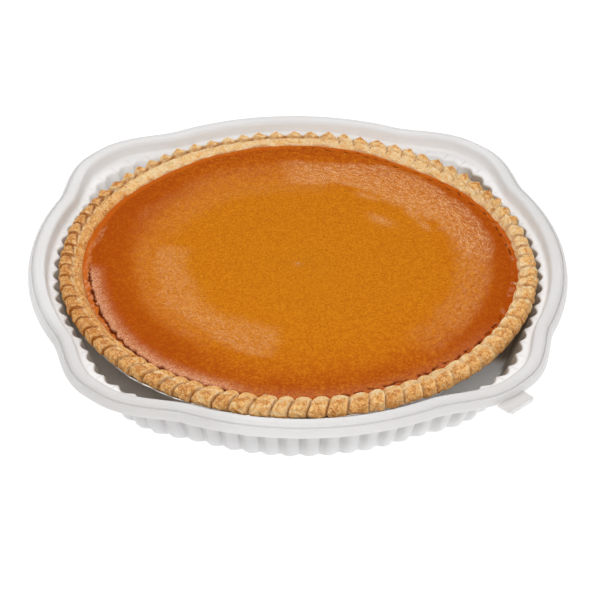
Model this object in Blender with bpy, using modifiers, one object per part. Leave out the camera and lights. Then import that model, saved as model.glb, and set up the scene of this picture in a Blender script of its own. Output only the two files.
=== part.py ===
"""A whole pumpkin pie in its foil pan, standing in a fluted white plastic tray.

Lengths are in metres and heights are measured up from the surface under the tray.
The tray's round outline swells into four lobes, at 45 degrees between its sides.
"""

import math

import bmesh
import bpy
from mathutils import Matrix, Vector

MM = 0.001
FULL_TURN = 2 * math.pi
GAP = 0.3 * MM
WELD = 0.01 * MM

# The tray's outline is taken along the inner edge of its rim's flat crest.
TRAY_SIDE_RADIUS = 161.3 * MM
TRAY_LOBE_REACH = 13.3 * MM
TRAY_HEIGHT = 46.5 * MM
TRAY_WALL = 0.8 * MM
LOBES = 4
LOBE_CREST_HALF_DEG = 2.0
LOBE_FOOT_HALF_DEG = 19.5

# The tray's wall is pressed into rounded flutes that meet in sharp inward ridges.
FLUTES = 76
POINTS_PER_FLUTE = 4
LEDGE_HEIGHT = 38.2 * MM
FLUTE_TOP_RADIUS = 156.4 * MM
FLUTE_TOP_LOBE_REACH = 9.2 * MM
FLUTE_TOP_DEPTH = 3.4 * MM
FLUTE_FOOT_RADIUS = 142.2 * MM
FLUTE_FOOT_LOBE_REACH = 8.0 * MM
FLUTE_FOOT_DEPTH = 2.6 * MM

# The rim from the ledge outwards, as (distance outside the outline, height).
CREST_WIDTH = 5.8 * MM
GROOVE_HEIGHT = 44.9 * MM
FLANGE_REACH = 10.9 * MM
FLANGE_HEIGHT = 39.6 * MM
RIM_PROFILE = (
    (-1.6 * MM, LEDGE_HEIGHT),
    (-0.4 * MM, TRAY_HEIGHT - 1.0 * MM),
    (0.6 * MM, TRAY_HEIGHT),
    (CREST_WIDTH, TRAY_HEIGHT),
    (CREST_WIDTH + 1.0 * MM, GROOVE_HEIGHT),
    (CREST_WIDTH + 1.8 * MM, GROOVE_HEIGHT),
    (FLANGE_REACH - 1.1 * MM, GROOVE_HEIGHT - 0.8 * MM),
    (FLANGE_REACH, FLANGE_HEIGHT),
)

# The pull tab on the front right lobe.
TAB_ANGLE = math.radians(-49.3)
TAB_WIDTH = 22.0 * MM
TAB_REACH = 9.6 * MM
TAB_INSET = 0.6 * MM
TAB_CORNER = 2.0 * MM

# The crust's pinched rim, and the dough that lines the pan.
CRIMPS = 80
POINTS_PER_CRIMP = 4
CRIMP_SLANT = math.radians(1.2)
CRUST_RADIUS = 152.4 * MM
CRUST_TOP = 46.5 * MM
CRUST_WALL = 5.0 * MM
CRIMP_DEPTH = 4.2 * MM
CRIMP_NOTCH = 1.4 * MM
DOUGH_RIDGE_RADIUS = 141.0 * MM
DOUGH_RIDGE_HEIGHT = 45.0 * MM
RIM_UNDERSIDE = 37.9 * MM

# The foil pan.
PAN_FOIL = 0.6 * MM
PAN_FLOOR_RADIUS = 121.6 * MM
PAN_NECK_RADIUS = 141.9 * MM
PAN_FLANGE_HEIGHT = 36.7 * MM
PAN_FLANGE_RADIUS = 150.4 * MM
PAN_BEAD_RADIUS = 152.2 * MM
PAN_BEAD_HEIGHT = 1.6 * MM

# The baked filling, whose centre lies a little to the right of the crust's.
FILLING_SHIFT = 1.6 * MM
FILLING_RADIUS = 138.2 * MM
FILLING_EDGE_HEIGHT = 42.0 * MM
FILLING_SWELL_RADIUS = 124.0 * MM
FILLING_SWELL_HEIGHT = 43.0 * MM
FILLING_CENTRE_HEIGHT = 42.2 * MM


def clear_scene():
    for scene_object in list(bpy.data.objects):
        bpy.data.objects.remove(scene_object)


def new_collection(name):
    collection = bpy.data.collections.new(name)
    bpy.context.scene.collection.children.link(collection)
    return collection


def new_material(name, colour, roughness, metallic=0.0):
    material = bpy.data.materials.new(name)
    material.use_nodes = True
    shader = material.node_tree.nodes["Principled BSDF"]
    shader.inputs["Base Color"].default_value = (*colour, 1.0)
    shader.inputs["Roughness"].default_value = roughness
    shader.inputs["Metallic"].default_value = metallic
    return material


def object_from(name, mesh_data, collection, material=None):
    """Turns a bmesh into a smooth-shaded object of the collection."""
    mesh = bpy.data.meshes.new(name)
    mesh_data.to_mesh(mesh)
    mesh_data.free()
    mesh.shade_smooth()
    if material:
        mesh.materials.append(material)
    made = bpy.data.objects.new(name, mesh)
    collection.objects.link(made)
    return made


def turned(name, profile, steps, collection, material):
    """A solid of revolution from (radius, height) points, top to bottom down its outer side."""
    outline = bmesh.new()
    points = [outline.verts.new((radius, 0, height)) for radius, height in profile]
    for start, end in zip(points, points[1:]):
        outline.edges.new((start, end))
    made = object_from(name, outline, collection, material)
    screw = made.modifiers.new("turn", "SCREW")
    screw.steps = steps
    screw.render_steps = steps
    screw.use_merge_vertices = True
    screw.merge_threshold = WELD
    screw.use_smooth_shade = True
    return made


def add_ring(mesh_data, count, place):
    """A loop of count vertices, the first at angle 0, at place(angle)."""
    return [mesh_data.verts.new(place(FULL_TURN * i / count)) for i in range(count)]


def join_rings(mesh_data, first, second):
    """Faces between two rings, of which one may have an even multiple of the other's vertices."""
    flip = len(first) > len(second)
    fine, coarse = (first, second) if flip else (second, first)
    ratio = len(fine) // len(coarse)
    for i, corner in enumerate(coarse):
        next_corner = coarse[(i + 1) % len(coarse)]
        if ratio == 1:
            faces = [(corner, fine[i], fine[(i + 1) % len(fine)], next_corner)]
        else:
            spread = [fine[(i * ratio + j) % len(fine)] for j in range(-ratio // 2, ratio // 2 + 1)]
            faces = [(corner, start, end) for start, end in zip(spread, spread[1:])]
            faces.append((corner, spread[-1], next_corner))
        for face in faces:
            mesh_data.faces.new(face[::-1] if flip else face)


def fill_ring(mesh_data, ring, height, facing_up):
    """Closes a ring with a fan of triangles about the axis."""
    hub = mesh_data.verts.new((0, 0, height))
    for start, end in zip(ring, ring[1:] + ring[:1]):
        mesh_data.faces.new((hub, start, end) if facing_up else (hub, end, start))


def lobe_rise(angle):
    """How far the tray's outline has swelled into a lobe: 0 along a side, 1 at a lobe's middle."""
    spacing = 360 / LOBES
    from_lobe = abs(math.degrees(angle) % spacing - spacing / 2)
    slope = (from_lobe - LOBE_CREST_HALF_DEG) / (LOBE_FOOT_HALF_DEG - LOBE_CREST_HALF_DEG)
    slope = min(max(slope, 0.0), 1.0)
    return 1 - slope * slope * (3 - 2 * slope)


def outline_radius(angle):
    return TRAY_SIDE_RADIUS + TRAY_LOBE_REACH * lobe_rise(angle)


def rim_place(offset, height):
    """The place function of a rim line that runs at an even distance outside the outline."""
    step = math.radians(0.05)

    def place(angle):
        radius = outline_radius(angle)
        growth = (outline_radius(angle + step) - outline_radius(angle - step)) / (2 * step)
        outward = Vector((radius, -growth)).normalized() * offset
        return Matrix.Rotation(angle, 3, "Z") @ Vector((radius + outward.x, outward.y, height))

    return place


def flute_place(outset, radius, lobe_reach, depth, height):
    """The place function of one level of the fluted wall, moved outwards by outset."""

    def place(angle):
        ridge = 1 - abs(math.cos(FLUTES * angle / 2))
        reach = outset + radius + lobe_reach * lobe_rise(angle) - depth * ridge
        return (reach * math.cos(angle), reach * math.sin(angle), height)

    return place


def underside(profile):
    """The (offset, height) points one wall's thickness under a profile that starts level."""
    points = [Vector(point) for point in profile]
    legs = [Vector((1, 0))] + [(end - start).normalized() for start, end in zip(points, points[1:])]
    under = []
    for point, before, after in zip(points, legs, legs[1:] + legs[-1:]):
        below_before = Vector((before.y, -before.x))
        below_after = Vector((after.y, -after.x))
        mitre = (below_before + below_after).normalized()
        under.append(point + mitre * TRAY_WALL / mitre.dot(below_after))
    under[-1].y = points[-1].y
    return [tuple(point) for point in under]


def tray(collection, helpers, material):
    """The tray as one pressed sheet, from its floor out to the flange, with the pull tab joined on."""
    foot = (FLUTE_FOOT_RADIUS, FLUTE_FOOT_LOBE_REACH, FLUTE_FOOT_DEPTH)
    neck = (FLUTE_TOP_RADIUS, FLUTE_TOP_LOBE_REACH, FLUTE_TOP_DEPTH)
    fine_count = FLUTES * POINTS_PER_FLUTE
    lines = [
        (fine_count, flute_place(0, *foot, TRAY_WALL)),
        (fine_count, flute_place(0, *neck, LEDGE_HEIGHT)),
    ]
    lines += [(FLUTES, rim_place(*point)) for point in RIM_PROFILE]
    lines += [(FLUTES, rim_place(*point)) for point in reversed(underside(RIM_PROFILE))]
    lines += [
        (fine_count, flute_place(TRAY_WALL, *neck, LEDGE_HEIGHT - TRAY_WALL)),
        (fine_count, flute_place(TRAY_WALL, *foot, 0)),
    ]
    sheet = bmesh.new()
    rings = [add_ring(sheet, count, place) for count, place in lines]
    fill_ring(sheet, rings[0], TRAY_WALL, facing_up=True)
    for inner, outer in zip(rings, rings[1:]):
        join_rings(sheet, inner, outer)
    fill_ring(sheet, rings[-1], 0, facing_up=False)
    made = object_from("tray", sheet, collection, material)
    join_tab = made.modifiers.new("join_tab", "BOOLEAN")
    join_tab.operation = "UNION"
    join_tab.solver = "EXACT"
    join_tab.object = tab_blank(helpers)
    return made


def tab_blank(helpers):
    """The flat tab with rounded outer corners, reaching into the flange's lower edge."""
    flange_radius = outline_radius(TAB_ANGLE) + FLANGE_REACH
    length = TAB_REACH + TAB_INSET
    plate = bmesh.new()
    bmesh.ops.create_cube(
        plate,
        size=1.0,
        matrix=Matrix.Translation((length / 2 - TAB_INSET, 0, 0))
        @ Matrix.Diagonal((length, TAB_WIDTH, TRAY_WALL, 1)),
    )
    outer_corners = [
        edge
        for edge in plate.edges
        if all(vert.co.x > 0 for vert in edge.verts) and abs((edge.verts[0].co - edge.verts[1].co).z) > 0
    ]
    bmesh.ops.bevel(plate, geom=outer_corners, offset=TAB_CORNER, segments=4, profile=0.5, affect="EDGES")
    blank = object_from("tab_blank", plate, helpers)
    blank.location = (
        flange_radius * math.cos(TAB_ANGLE),
        flange_radius * math.sin(TAB_ANGLE),
        FLANGE_HEIGHT + TRAY_WALL,
    )
    blank.rotation_euler.z = TAB_ANGLE
    blank.hide_render = True
    blank.display_type = "WIRE"
    return blank


def crimp_swell(angle):
    """0 in the pinch between two crimps and 1 on the round of a crimp."""
    return abs(math.sin(CRIMPS * angle / 2)) ** 0.7


def crimp_place(radius, height, notch, depth, slant):
    """The place function of a line that runs round over the crimps and down into each pinch."""

    def place(angle):
        pinch = 1 - crimp_swell(angle)
        reach = radius - notch * pinch
        turn = angle + slant
        return (reach * math.cos(turn), reach * math.sin(turn), height - depth * pinch)

    return place


def round_place(radius, height, shift=0.0, slant=0.0):
    """The place function of a plain circle, moved along X by shift."""

    def place(angle):
        turn = angle + slant
        return (radius * math.cos(turn) + shift, radius * math.sin(turn), height)

    return place


def crust(collection, material):
    """The pastry shell: its lining of the pan, its flat rim on the pan's flange, and the crimps."""
    floor_bottom = TRAY_WALL + GAP + PAN_FOIL + GAP
    lining_foot = PAN_FLOOR_RADIUS - PAN_FOIL - GAP
    lining_neck = PAN_NECK_RADIUS - PAN_FOIL - GAP
    fine_count = CRIMPS * POINTS_PER_CRIMP
    dough = bmesh.new()
    pocket = add_ring(dough, CRIMPS, round_place(lining_foot - CRUST_WALL, floor_bottom + CRUST_WALL))
    fill_ring(dough, pocket, floor_bottom + CRUST_WALL, facing_up=True)
    lines = (
        (CRIMPS, round_place(FILLING_RADIUS + GAP, FILLING_EDGE_HEIGHT, FILLING_SHIFT)),
        (CRIMPS, round_place(DOUGH_RIDGE_RADIUS + GAP, DOUGH_RIDGE_HEIGHT)),
        (fine_count, crimp_place(143.4 * MM, CRUST_TOP - 0.6 * MM, 0.0, 3.0 * MM, CRIMP_SLANT)),
        (fine_count, crimp_place(148.8 * MM, CRUST_TOP, 0.6 * MM, CRIMP_DEPTH, CRIMP_SLANT / 2)),
        (fine_count, crimp_place(CRUST_RADIUS, CRUST_TOP - 5.0 * MM, CRIMP_NOTCH, 1.6 * MM, 0.0)),
        (CRIMPS, round_place(CRUST_RADIUS - 1.6 * MM, RIM_UNDERSIDE)),
        (CRIMPS, round_place(lining_neck, RIM_UNDERSIDE)),
        (CRIMPS, round_place(lining_foot, floor_bottom)),
    )
    last = pocket
    for count, place in lines:
        ring = add_ring(dough, count, place)
        join_rings(dough, last, ring)
        last = ring
    fill_ring(dough, last, floor_bottom, facing_up=False)
    return object_from("crust", dough, collection, material)


def foil_pan(collection, material):
    """The foil pan under the crust, from its floor to the rolled bead of its flange."""
    floor = TRAY_WALL + GAP
    top = PAN_FLANGE_HEIGHT + PAN_FOIL
    profile = (
        (0, floor + PAN_FOIL),
        (PAN_FLOOR_RADIUS - PAN_FOIL, floor + PAN_FOIL),
        (PAN_NECK_RADIUS - PAN_FOIL, top),
        (PAN_FLANGE_RADIUS, top),
        (PAN_BEAD_RADIUS, RIM_UNDERSIDE - GAP),
        (PAN_BEAD_RADIUS, RIM_UNDERSIDE - GAP - PAN_BEAD_HEIGHT),
        (PAN_FLANGE_RADIUS, PAN_FLANGE_HEIGHT),
        (PAN_NECK_RADIUS, PAN_FLANGE_HEIGHT),
        (PAN_FLOOR_RADIUS, floor),
        (0, floor),
    )
    return turned("foil_pan", profile, CRIMPS, collection, material)


def filling(collection, material):
    """The baked pumpkin filling, a disc with a low swell inside its edge."""
    floor = TRAY_WALL + GAP + PAN_FOIL + GAP + CRUST_WALL + GAP
    foot = PAN_FLOOR_RADIUS - PAN_FOIL - CRUST_WALL - 2 * GAP - FILLING_SHIFT
    profile = (
        (0, FILLING_CENTRE_HEIGHT),
        (FILLING_SWELL_RADIUS * 0.75, FILLING_CENTRE_HEIGHT + 0.3 * MM),
        (FILLING_SWELL_RADIUS, FILLING_SWELL_HEIGHT),
        (FILLING_RADIUS - 5.0 * MM, FILLING_SWELL_HEIGHT - 0.2 * MM),
        (FILLING_RADIUS, FILLING_EDGE_HEIGHT),
        (foot, floor),
        (0, floor),
    )
    made = turned("filling", profile, CRIMPS, collection, material)
    made.location.x = FILLING_SHIFT
    return made


def main():
    clear_scene()
    pie = new_collection("pumpkin_pie")
    helpers = new_collection("helpers")
    helpers.hide_render = True
    white_plastic = new_material("white_plastic", (0.80, 0.79, 0.80), 0.35)
    aluminium_foil = new_material("aluminium_foil", (0.72, 0.72, 0.72), 0.3, metallic=1.0)
    baked_pastry = new_material("baked_pastry", (0.60, 0.34, 0.13), 0.65)
    pumpkin_custard = new_material("pumpkin_custard", (0.45, 0.13, 0.015), 0.35)
    tray(pie, helpers, white_plastic)
    foil_pan(pie, aluminium_foil)
    crust(pie, baked_pastry)
    filling(pie, pumpkin_custard)


main()
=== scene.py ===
"""A whole pumpkin pie in its foil pan, standing in a fluted white plastic tray.

Lengths are in metres and heights are measured up from the surface under the tray. Angles are
counter-clockwise from +X, seen from above. The front, at -Y, is the side nearest the camera.
"""

import itertools
import logging
import math
from dataclasses import dataclass
from enum import Enum
from typing import ClassVar

import bpy
import numpy as np
from mathutils import Matrix, Vector


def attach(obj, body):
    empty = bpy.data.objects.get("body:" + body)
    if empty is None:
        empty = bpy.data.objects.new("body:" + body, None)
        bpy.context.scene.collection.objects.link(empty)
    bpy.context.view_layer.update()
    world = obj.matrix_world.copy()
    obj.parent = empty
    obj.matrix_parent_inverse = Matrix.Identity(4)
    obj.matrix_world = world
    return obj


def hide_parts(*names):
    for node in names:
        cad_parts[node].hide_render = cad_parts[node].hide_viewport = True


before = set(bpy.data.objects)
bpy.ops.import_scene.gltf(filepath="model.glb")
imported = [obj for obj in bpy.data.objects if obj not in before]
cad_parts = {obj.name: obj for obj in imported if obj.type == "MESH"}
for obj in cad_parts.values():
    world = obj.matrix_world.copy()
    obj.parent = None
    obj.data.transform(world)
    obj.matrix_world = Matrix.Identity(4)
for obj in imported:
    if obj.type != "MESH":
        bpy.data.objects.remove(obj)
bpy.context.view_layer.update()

MM = 0.001
FULL_TURN = 2 * math.pi
WELD = 1e-6
LOG = logging.getLogger("pumpkin_pie")

Array = np.ndarray


class Slot(Enum):
    """The record's material slots."""

    PLASTIC = "white_plastic"
    FOIL = "aluminium_foil"
    PASTRY = "baked_pastry"
    CUSTARD = "pumpkin_custard"


class Node(Enum):
    """The CAD nodes that the pieces stand for."""

    TRAY = "tray"
    PAN = "foil_pan"
    CRUST = "crust"
    FILLING = "filling"


# ---------------------------------------------------------------- curves and unevenness


def eased(amount: Array) -> Array:
    """A soft step: 0 up to 0, 1 from 1, level at both ends."""
    amount = np.clip(amount, 0.0, 1.0)
    return amount * amount * (3 - 2 * amount)


def turn_from(angle: Array, middle_deg: float) -> Array:
    """How far each angle lies from a middle, in degrees from -180 to 180.

    Args:
        angle: Angles in radians.
        middle_deg: The middle, in degrees.

    Returns:
        The signed distances in degrees.
    """
    return (np.degrees(angle) - middle_deg + 180) % 360 - 180


def hill(angle: Array, middle_deg: float, width_deg: float) -> Array:
    """A bell of height 1 round the turn, as wide as width_deg on each side of its middle."""
    return np.exp(-((turn_from(angle, middle_deg) / width_deg) ** 2))


def reach_between(angle: Array, start_deg: float, end_deg: float, fade_deg: float) -> Array:
    """1 from start to end counter-clockwise, fading to 0 outside.

    Args:
        angle: Angles in radians.
        start_deg: Where the stretch starts, in degrees.
        end_deg: Where it ends, in degrees, past the start.
        fade_deg: How far it fades beyond each end.

    Returns:
        The strength at each angle.
    """
    half = (end_deg - start_deg) / 2
    beyond = np.abs(turn_from(angle, start_deg + half)) - half
    return 1 - eased(beyond / fade_deg)


def ripple(angle: Array, seed: int, slowest: int, fastest: int) -> Array:
    """Seeded waviness round a full turn.

    Args:
        angle: Angles in radians.
        seed: Picks the waves.
        slowest: Waves in a turn of the longest one.
        fastest: Waves in a turn of the shortest one.

    Returns:
        About -1 to 1 at each angle.
    """
    draw = np.random.default_rng(seed)
    counts = range(slowest, fastest + 1)
    total = np.zeros_like(angle)
    for count in counts:
        total += draw.normal() * np.sin(count * angle + draw.uniform(0, FULL_TURN))
    return total / math.sqrt(len(counts))


def grain(places: Array, size: float, seed: int) -> Array:
    """Seeded lumpiness in space.

    Args:
        places: Points, one in a row.
        size: The size of a lump.
        seed: Picks the lumps.

    Returns:
        -1 to 1 at each point.
    """
    cells = places / size
    corner = np.floor(cells).astype(np.int64)
    part = cells - corner
    part = part * part * (3 - 2 * part)
    total = np.zeros(len(places))
    for step in itertools.product((0, 1), repeat=3):
        at = corner + np.array(step)
        mixed = (at[:, 0] * 73856093) ^ (at[:, 1] * 19349663) ^ (at[:, 2] * 83492791) ^ (seed * 668265263)
        mixed = (mixed ^ (mixed >> 13)) * 1274126177
        value = ((mixed ^ (mixed >> 16)) & 0xFFFF) / 32767.5 - 1
        total += value * np.prod(np.where(step, part, 1 - part), axis=1)
    return total


def rounded(rows: list, corners: dict, steps: int) -> Array:
    """A line of rows with its corners rounded.

    Args:
        rows: Points in any number of columns, the first two of which measure distance.
        corners: How far each rounded corner's curve reaches along its legs, by row.
        steps: Pieces in a corner's curve.

    Returns:
        The longer line.
    """
    points = np.array(rows, float)
    made = []
    for i, point in enumerate(points):
        if i not in corners:
            made.append(point)
            continue
        ends = []
        for other in (points[i - 1], points[i + 1]):
            length = math.hypot(other[0] - point[0], other[1] - point[1])
            ends.append(point + (other - point) * min(corners[i] / length, 0.48))
        for j in range(steps + 1):
            t = j / steps
            made.append((1 - t) ** 2 * ends[0] + 2 * t * (1 - t) * point + t * t * ends[1])
    return np.array(made)


def through(rows: Array, pieces: int) -> Array:
    """A smooth curve through rows of points, with each stretch in so many pieces."""
    padded = np.vstack([2 * rows[0] - rows[1], rows, 2 * rows[-1] - rows[-2]])
    made = []
    for a, b, c, d in zip(padded, padded[1:], padded[2:], padded[3:]):
        for j in range(pieces):
            t = j / pieces
            made.append(
                0.5 * (2 * b + (c - a) * t + (2 * a - 5 * b + 4 * c - d) * t * t + (3 * b - a - 3 * c + d) * t**3)
            )
    made.append(rows[-1])
    return np.array(made)


# ---------------------------------------------------------------- meshes


def deselect_all() -> None:
    """Leaves nothing selected, in object mode."""
    if bpy.context.mode != "OBJECT":
        bpy.ops.object.mode_set(mode="OBJECT")
    bpy.ops.object.select_all(action="DESELECT")


def named(made: bpy.types.Object, name: str) -> bpy.types.Object:
    """The object with its name, and its mesh's, set."""
    made.name = name
    made.data.name = name
    return made


@dataclass
class Turning:
    """A closed outline spun about the axis, to be shaped line by line.

    Each vertex knows which point of the outline it comes from and its angle, so that a formula
    can place it.
    """

    DOUBLINGS: ClassVar[int] = 3

    name: str
    outline: Array
    steps: int

    def spin(self) -> None:
        """Lays a ring of points on the outline, spins it an eighth of a turn and doubles that to a whole one."""
        deselect_all()
        bpy.ops.mesh.primitive_circle_add(vertices=len(self.outline), radius=0.01, fill_type="NOTHING")
        self.piece = named(bpy.context.object, self.name)
        mesh = self.piece.data
        places = np.zeros((len(self.outline), 3))
        places[:, 0] = self.outline[:, 0]
        places[:, 2] = self.outline[:, 1]
        mesh.vertices.foreach_set("co", places.ravel())
        line = mesh.attributes.new("line", "INT", "POINT")
        line.data.foreach_set("value", np.arange(len(self.outline), dtype=np.int32))
        bpy.ops.object.mode_set(mode="EDIT")
        bpy.ops.mesh.select_all(action="SELECT")
        sector = FULL_TURN / 2**self.DOUBLINGS
        bpy.ops.mesh.spin(steps=self.steps // 2**self.DOUBLINGS, angle=sector, center=(0, 0, 0), axis=(0, 0, 1))
        for _ in range(self.DOUBLINGS):
            bpy.ops.mesh.select_all(action="SELECT")
            bpy.ops.mesh.duplicate()
            bpy.ops.transform.rotate(value=sector, orient_axis="Z", center_override=(0, 0, 0))
            sector *= 2
        bpy.ops.mesh.select_all(action="SELECT")
        bpy.ops.mesh.remove_doubles(threshold=WELD)
        bpy.ops.mesh.normals_make_consistent(inside=False)
        bpy.ops.object.mode_set(mode="OBJECT")
        mesh = self.piece.data
        count = len(mesh.vertices)
        self.line = np.empty(count, np.int32)
        mesh.attributes["line"].data.foreach_get("value", self.line)
        where = np.empty(count * 3, np.float32)
        mesh.vertices.foreach_get("co", where)
        where = where.reshape(-1, 3).astype(float)
        self.angle = np.arctan2(where[:, 1], where[:, 0]) % FULL_TURN

    def place(self, places: Array) -> None:
        """Moves each vertex to its place."""
        self.piece.data.vertices.foreach_set("co", places.astype(np.float32).ravel())
        self.piece.data.update()

    def note(self, name: str, values: Array) -> None:
        """Stores a number from 0 to 1 on each vertex, for a finish to read."""
        layer = self.piece.data.attributes.new(name, "FLOAT", "POINT")
        layer.data.foreach_set("value", np.clip(values, 0.0, 1.0).astype(np.float32))

    def finish(self, sharp_deg: float | None = None) -> bpy.types.Object:
        """Shades the piece smooth.

        Args:
            sharp_deg: Edges that turn more than this stay crisp, if it is given.

        Returns:
            The finished object.
        """
        mesh = self.piece.data
        mesh.attributes.remove(mesh.attributes["line"])
        deselect_all()
        self.piece.select_set(True)
        bpy.context.view_layer.objects.active = self.piece
        if sharp_deg is None:
            bpy.ops.object.shade_smooth()
        else:
            bpy.ops.object.shade_smooth_by_angle(angle=math.radians(sharp_deg))
        return self.piece


def round_places(reach: Array, angle: Array, height: Array) -> Array:
    """Points at a distance from the axis, an angle and a height."""
    return np.stack([reach * np.cos(angle), reach * np.sin(angle), height], axis=1)


# ---------------------------------------------------------------- finishes


class Wire:
    """An output of a shader node. Arithmetic on it adds Math nodes."""

    def __init__(self, finish: "Finish", output: bpy.types.NodeSocket) -> None:
        """Wraps one output."""
        self.finish = finish
        self.output = output

    def __add__(self, other: "Wire | float") -> "Wire":
        """self + other."""
        return self.finish.maths("ADD", self, other)

    __radd__ = __add__

    def __mul__(self, other: "Wire | float") -> "Wire":
        """self * other."""
        return self.finish.maths("MULTIPLY", self, other)

    __rmul__ = __mul__

    def __sub__(self, other: "Wire | float") -> "Wire":
        """self - other."""
        return self.finish.maths("SUBTRACT", self, other)

    def __rsub__(self, other: "Wire | float") -> "Wire":
        """other - self."""
        return self.finish.maths("SUBTRACT", other, self)

    def __truediv__(self, other: "Wire | float") -> "Wire":
        """self / other."""
        return self.finish.maths("DIVIDE", self, other)

    def __pow__(self, other: "Wire | float") -> "Wire":
        """self ** other."""
        return self.finish.maths("POWER", self, other)


class Finish:
    """A new material, and the nodes behind its shader."""

    def __init__(self, name: str, **constants: object) -> None:
        """Starts the material.

        Args:
            name: The material's name.
            constants: Values of the shader's own sockets, with _ for a space.
        """
        self.material = bpy.data.materials.new(name)
        self.material.use_nodes = True
        self.nodes = self.material.node_tree.nodes
        self.links = self.material.node_tree.links
        self.shader = self.nodes["Principled BSDF"]
        for socket, value in constants.items():
            self.shader.inputs[socket.replace("_", " ")].default_value = value

    def node(self, kind: str, settings: dict | None = None, output: int | str = 0, **values: object) -> Wire:
        """Adds a node.

        Args:
            kind: The node's type, without ShaderNode.
            settings: The node's own settings, which are set first.
            output: The output that is wanted.
            values: Numbers, colours or wires for its inputs: _0 is the first input, Scale the one so named.

        Returns:
            The output.
        """
        made = self.nodes.new("ShaderNode" + kind)
        for setting, value in (settings or {}).items():
            setattr(made, setting, value)
        for socket, value in values.items():
            target = made.inputs[int(socket[1:]) if socket[0] == "_" else socket.replace("_", " ")]
            if isinstance(value, Wire):
                self.links.new(value.output, target)
            else:
                target.default_value = value
        return Wire(self, made.outputs[output])

    def maths(self, operation: str, first: Wire | float, second: Wire | float = 0.0, clamp: bool = False) -> Wire:
        """One sum on numbers."""
        return self.node("Math", {"operation": operation, "use_clamp": clamp}, _0=first, _1=second)

    def place(self) -> Wire:
        """The point on the piece, in its own axes."""
        return self.node("TexCoord", output="Object")

    def note(self, name: str) -> Wire:
        """A number stored on the vertices."""
        return self.node("Attribute", {"attribute_name": name}, output="Fac")

    def stretched(self, scale: tuple[float, float, float]) -> Wire:
        """The point on the piece with each axis scaled."""
        return self.node("Mapping", Vector=self.place(), Scale=scale)

    def noise(
        self,
        scale: float,
        detail: float = 3.0,
        roughness: float = 0.55,
        distortion: float = 0.0,
        at: Wire | None = None,
    ) -> Wire:
        """Cloudy noise, from 0 to 1."""
        return self.node(
            "TexNoise",
            Vector=at or self.place(),
            Scale=scale,
            Detail=detail,
            Roughness=roughness,
            Distortion=distortion,
        )

    def cells(self, scale: float, jitter: float = 1.0) -> Wire:
        """The distance to the nearest of many scattered points."""
        return self.node("TexVoronoi", output="Distance", Vector=self.place(), Scale=scale, Randomness=jitter)

    def band(self, value: Wire, low: float, high: float) -> Wire:
        """0 below low, 1 above high and a soft step between; turned round where low is above high."""
        if low > high:
            return 1.0 - self.band(value, high, low)
        made = self.node("MapRange", {"interpolation_type": "SMOOTHSTEP"}, Value=value, From_Min=low, From_Max=high)
        return made

    def blend(self, amount: Wire | float, first: object, second: object) -> Wire:
        """A colour between two, by amount from 0 to 1."""
        mixed = self.node("Mix", {"data_type": "RGBA"}, output=2, _0=amount, _6=colour(first), _7=colour(second))
        return mixed

    def shades(self, value: Wire, stops: list[tuple[float, tuple[float, float, float]]]) -> Wire:
        """A colour that runs through stops of (position, colour)."""
        made = self.nodes.new("ShaderNodeValToRGB")
        ramp = made.color_ramp
        while len(ramp.elements) < len(stops):
            ramp.elements.new(0.5)
        for element, (position, shade) in zip(ramp.elements, stops):
            element.position = position
            element.color = (*shade, 1.0)
        self.links.new(value.output, made.inputs[0])
        return Wire(self, made.outputs[0])

    def bump(self, height: Wire, distance: float, strength: float = 1.0, over: Wire | None = None) -> Wire:
        """A normal from a height in units of distance, laid over another normal if one is given."""
        values = {"Height": height, "Distance": distance, "Strength": strength}
        if over:
            values["Normal"] = over
        return self.node("Bump", **values)

    def set(self, socket: str, wire: Wire) -> None:
        """Feeds one of the shader's sockets."""
        self.links.new(wire.output, self.shader.inputs[socket])


def colour(value: object) -> object:
    """A wire as it is, or three numbers as an opaque colour."""
    return value if isinstance(value, Wire) else (*value, 1.0)


@dataclass(frozen=True)
class WhitePlastic:
    """Thin pressed white plastic with a soft gloss, very slightly cool."""

    shade: tuple[float, float, float] = (0.800, 0.792, 0.796)
    dull_shade: tuple[float, float, float] = (0.780, 0.770, 0.766)
    # Painted shade: this grey darkens the flutes, the rim and the tab.
    painted_shade_grey: tuple[float, float, float] = (0.50, 0.483, 0.472)
    # Painted shade: this brown darkens the tray's inner wall in the gaps beside the pie.
    shaded: tuple[float, float, float] = (0.34, 0.275, 0.21)
    roughness: float = 0.34

    def made(self) -> bpy.types.Material:
        """The material, with a faint flow of the pressed sheet in its gloss."""
        finish = Finish(
            Slot.PLASTIC.value,
            IOR=1.46,
            Specular_IOR_Level=0.35,
            Subsurface_Weight=0.7,
            Subsurface_Radius=(1.0, 0.97, 0.93),
            Subsurface_Scale=1.8 * MM,
        )
        cloud = finish.noise(22.0, 3.0)
        fine = finish.noise(700.0, 2.0)
        body = finish.blend(finish.band(cloud, 0.3, 0.7), self.shade, self.dull_shade)
        # Painted shade, grey, where the tray's note asks for it.
        body = finish.blend(finish.note("painted_tray_shade"), body, self.painted_shade_grey)
        # Painted shade, brown, in the gaps beside the pie.
        body = finish.blend(finish.note("shaded"), body, self.shaded)
        finish.set("Base Color", body)
        finish.set("Roughness", self.roughness + 0.12 * (cloud - 0.5) + 0.05 * fine)
        flow = finish.bump(finish.noise(60.0, 2.0), 0.00012, 0.5)
        finish.set("Normal", finish.bump(fine, 0.00002, 0.5, flow))
        return finish.material


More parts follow.
